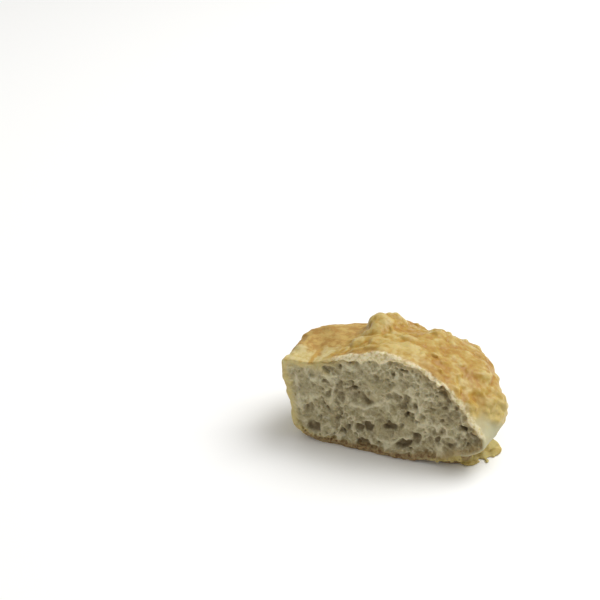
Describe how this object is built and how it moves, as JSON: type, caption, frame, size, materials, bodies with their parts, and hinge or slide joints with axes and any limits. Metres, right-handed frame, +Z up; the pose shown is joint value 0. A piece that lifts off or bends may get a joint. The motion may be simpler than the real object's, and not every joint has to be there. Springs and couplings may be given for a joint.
{
  "type": "bread roll",
  "caption": "Lobe of a cheese-topped bread roll, cut open on one side to show its airy crumb, resting on its flat base.",
  "frame": {"origin": "centre of the piece's footprint, on the surface that it rests on", "axes": "+X along the cut face, towards the rounded side with the cheese skirt; +Y away from the cut face; +Z up"},
  "size_m": [0.11, 0.08, 0.057],
  "materials": {
    "crust": "matt baked crust under melted cheese, with a matt, porous crumb on the cut face"
  },
  "bodies": {
    "root": {"bread_roll": "crust"}
  },
  "joints": []
}
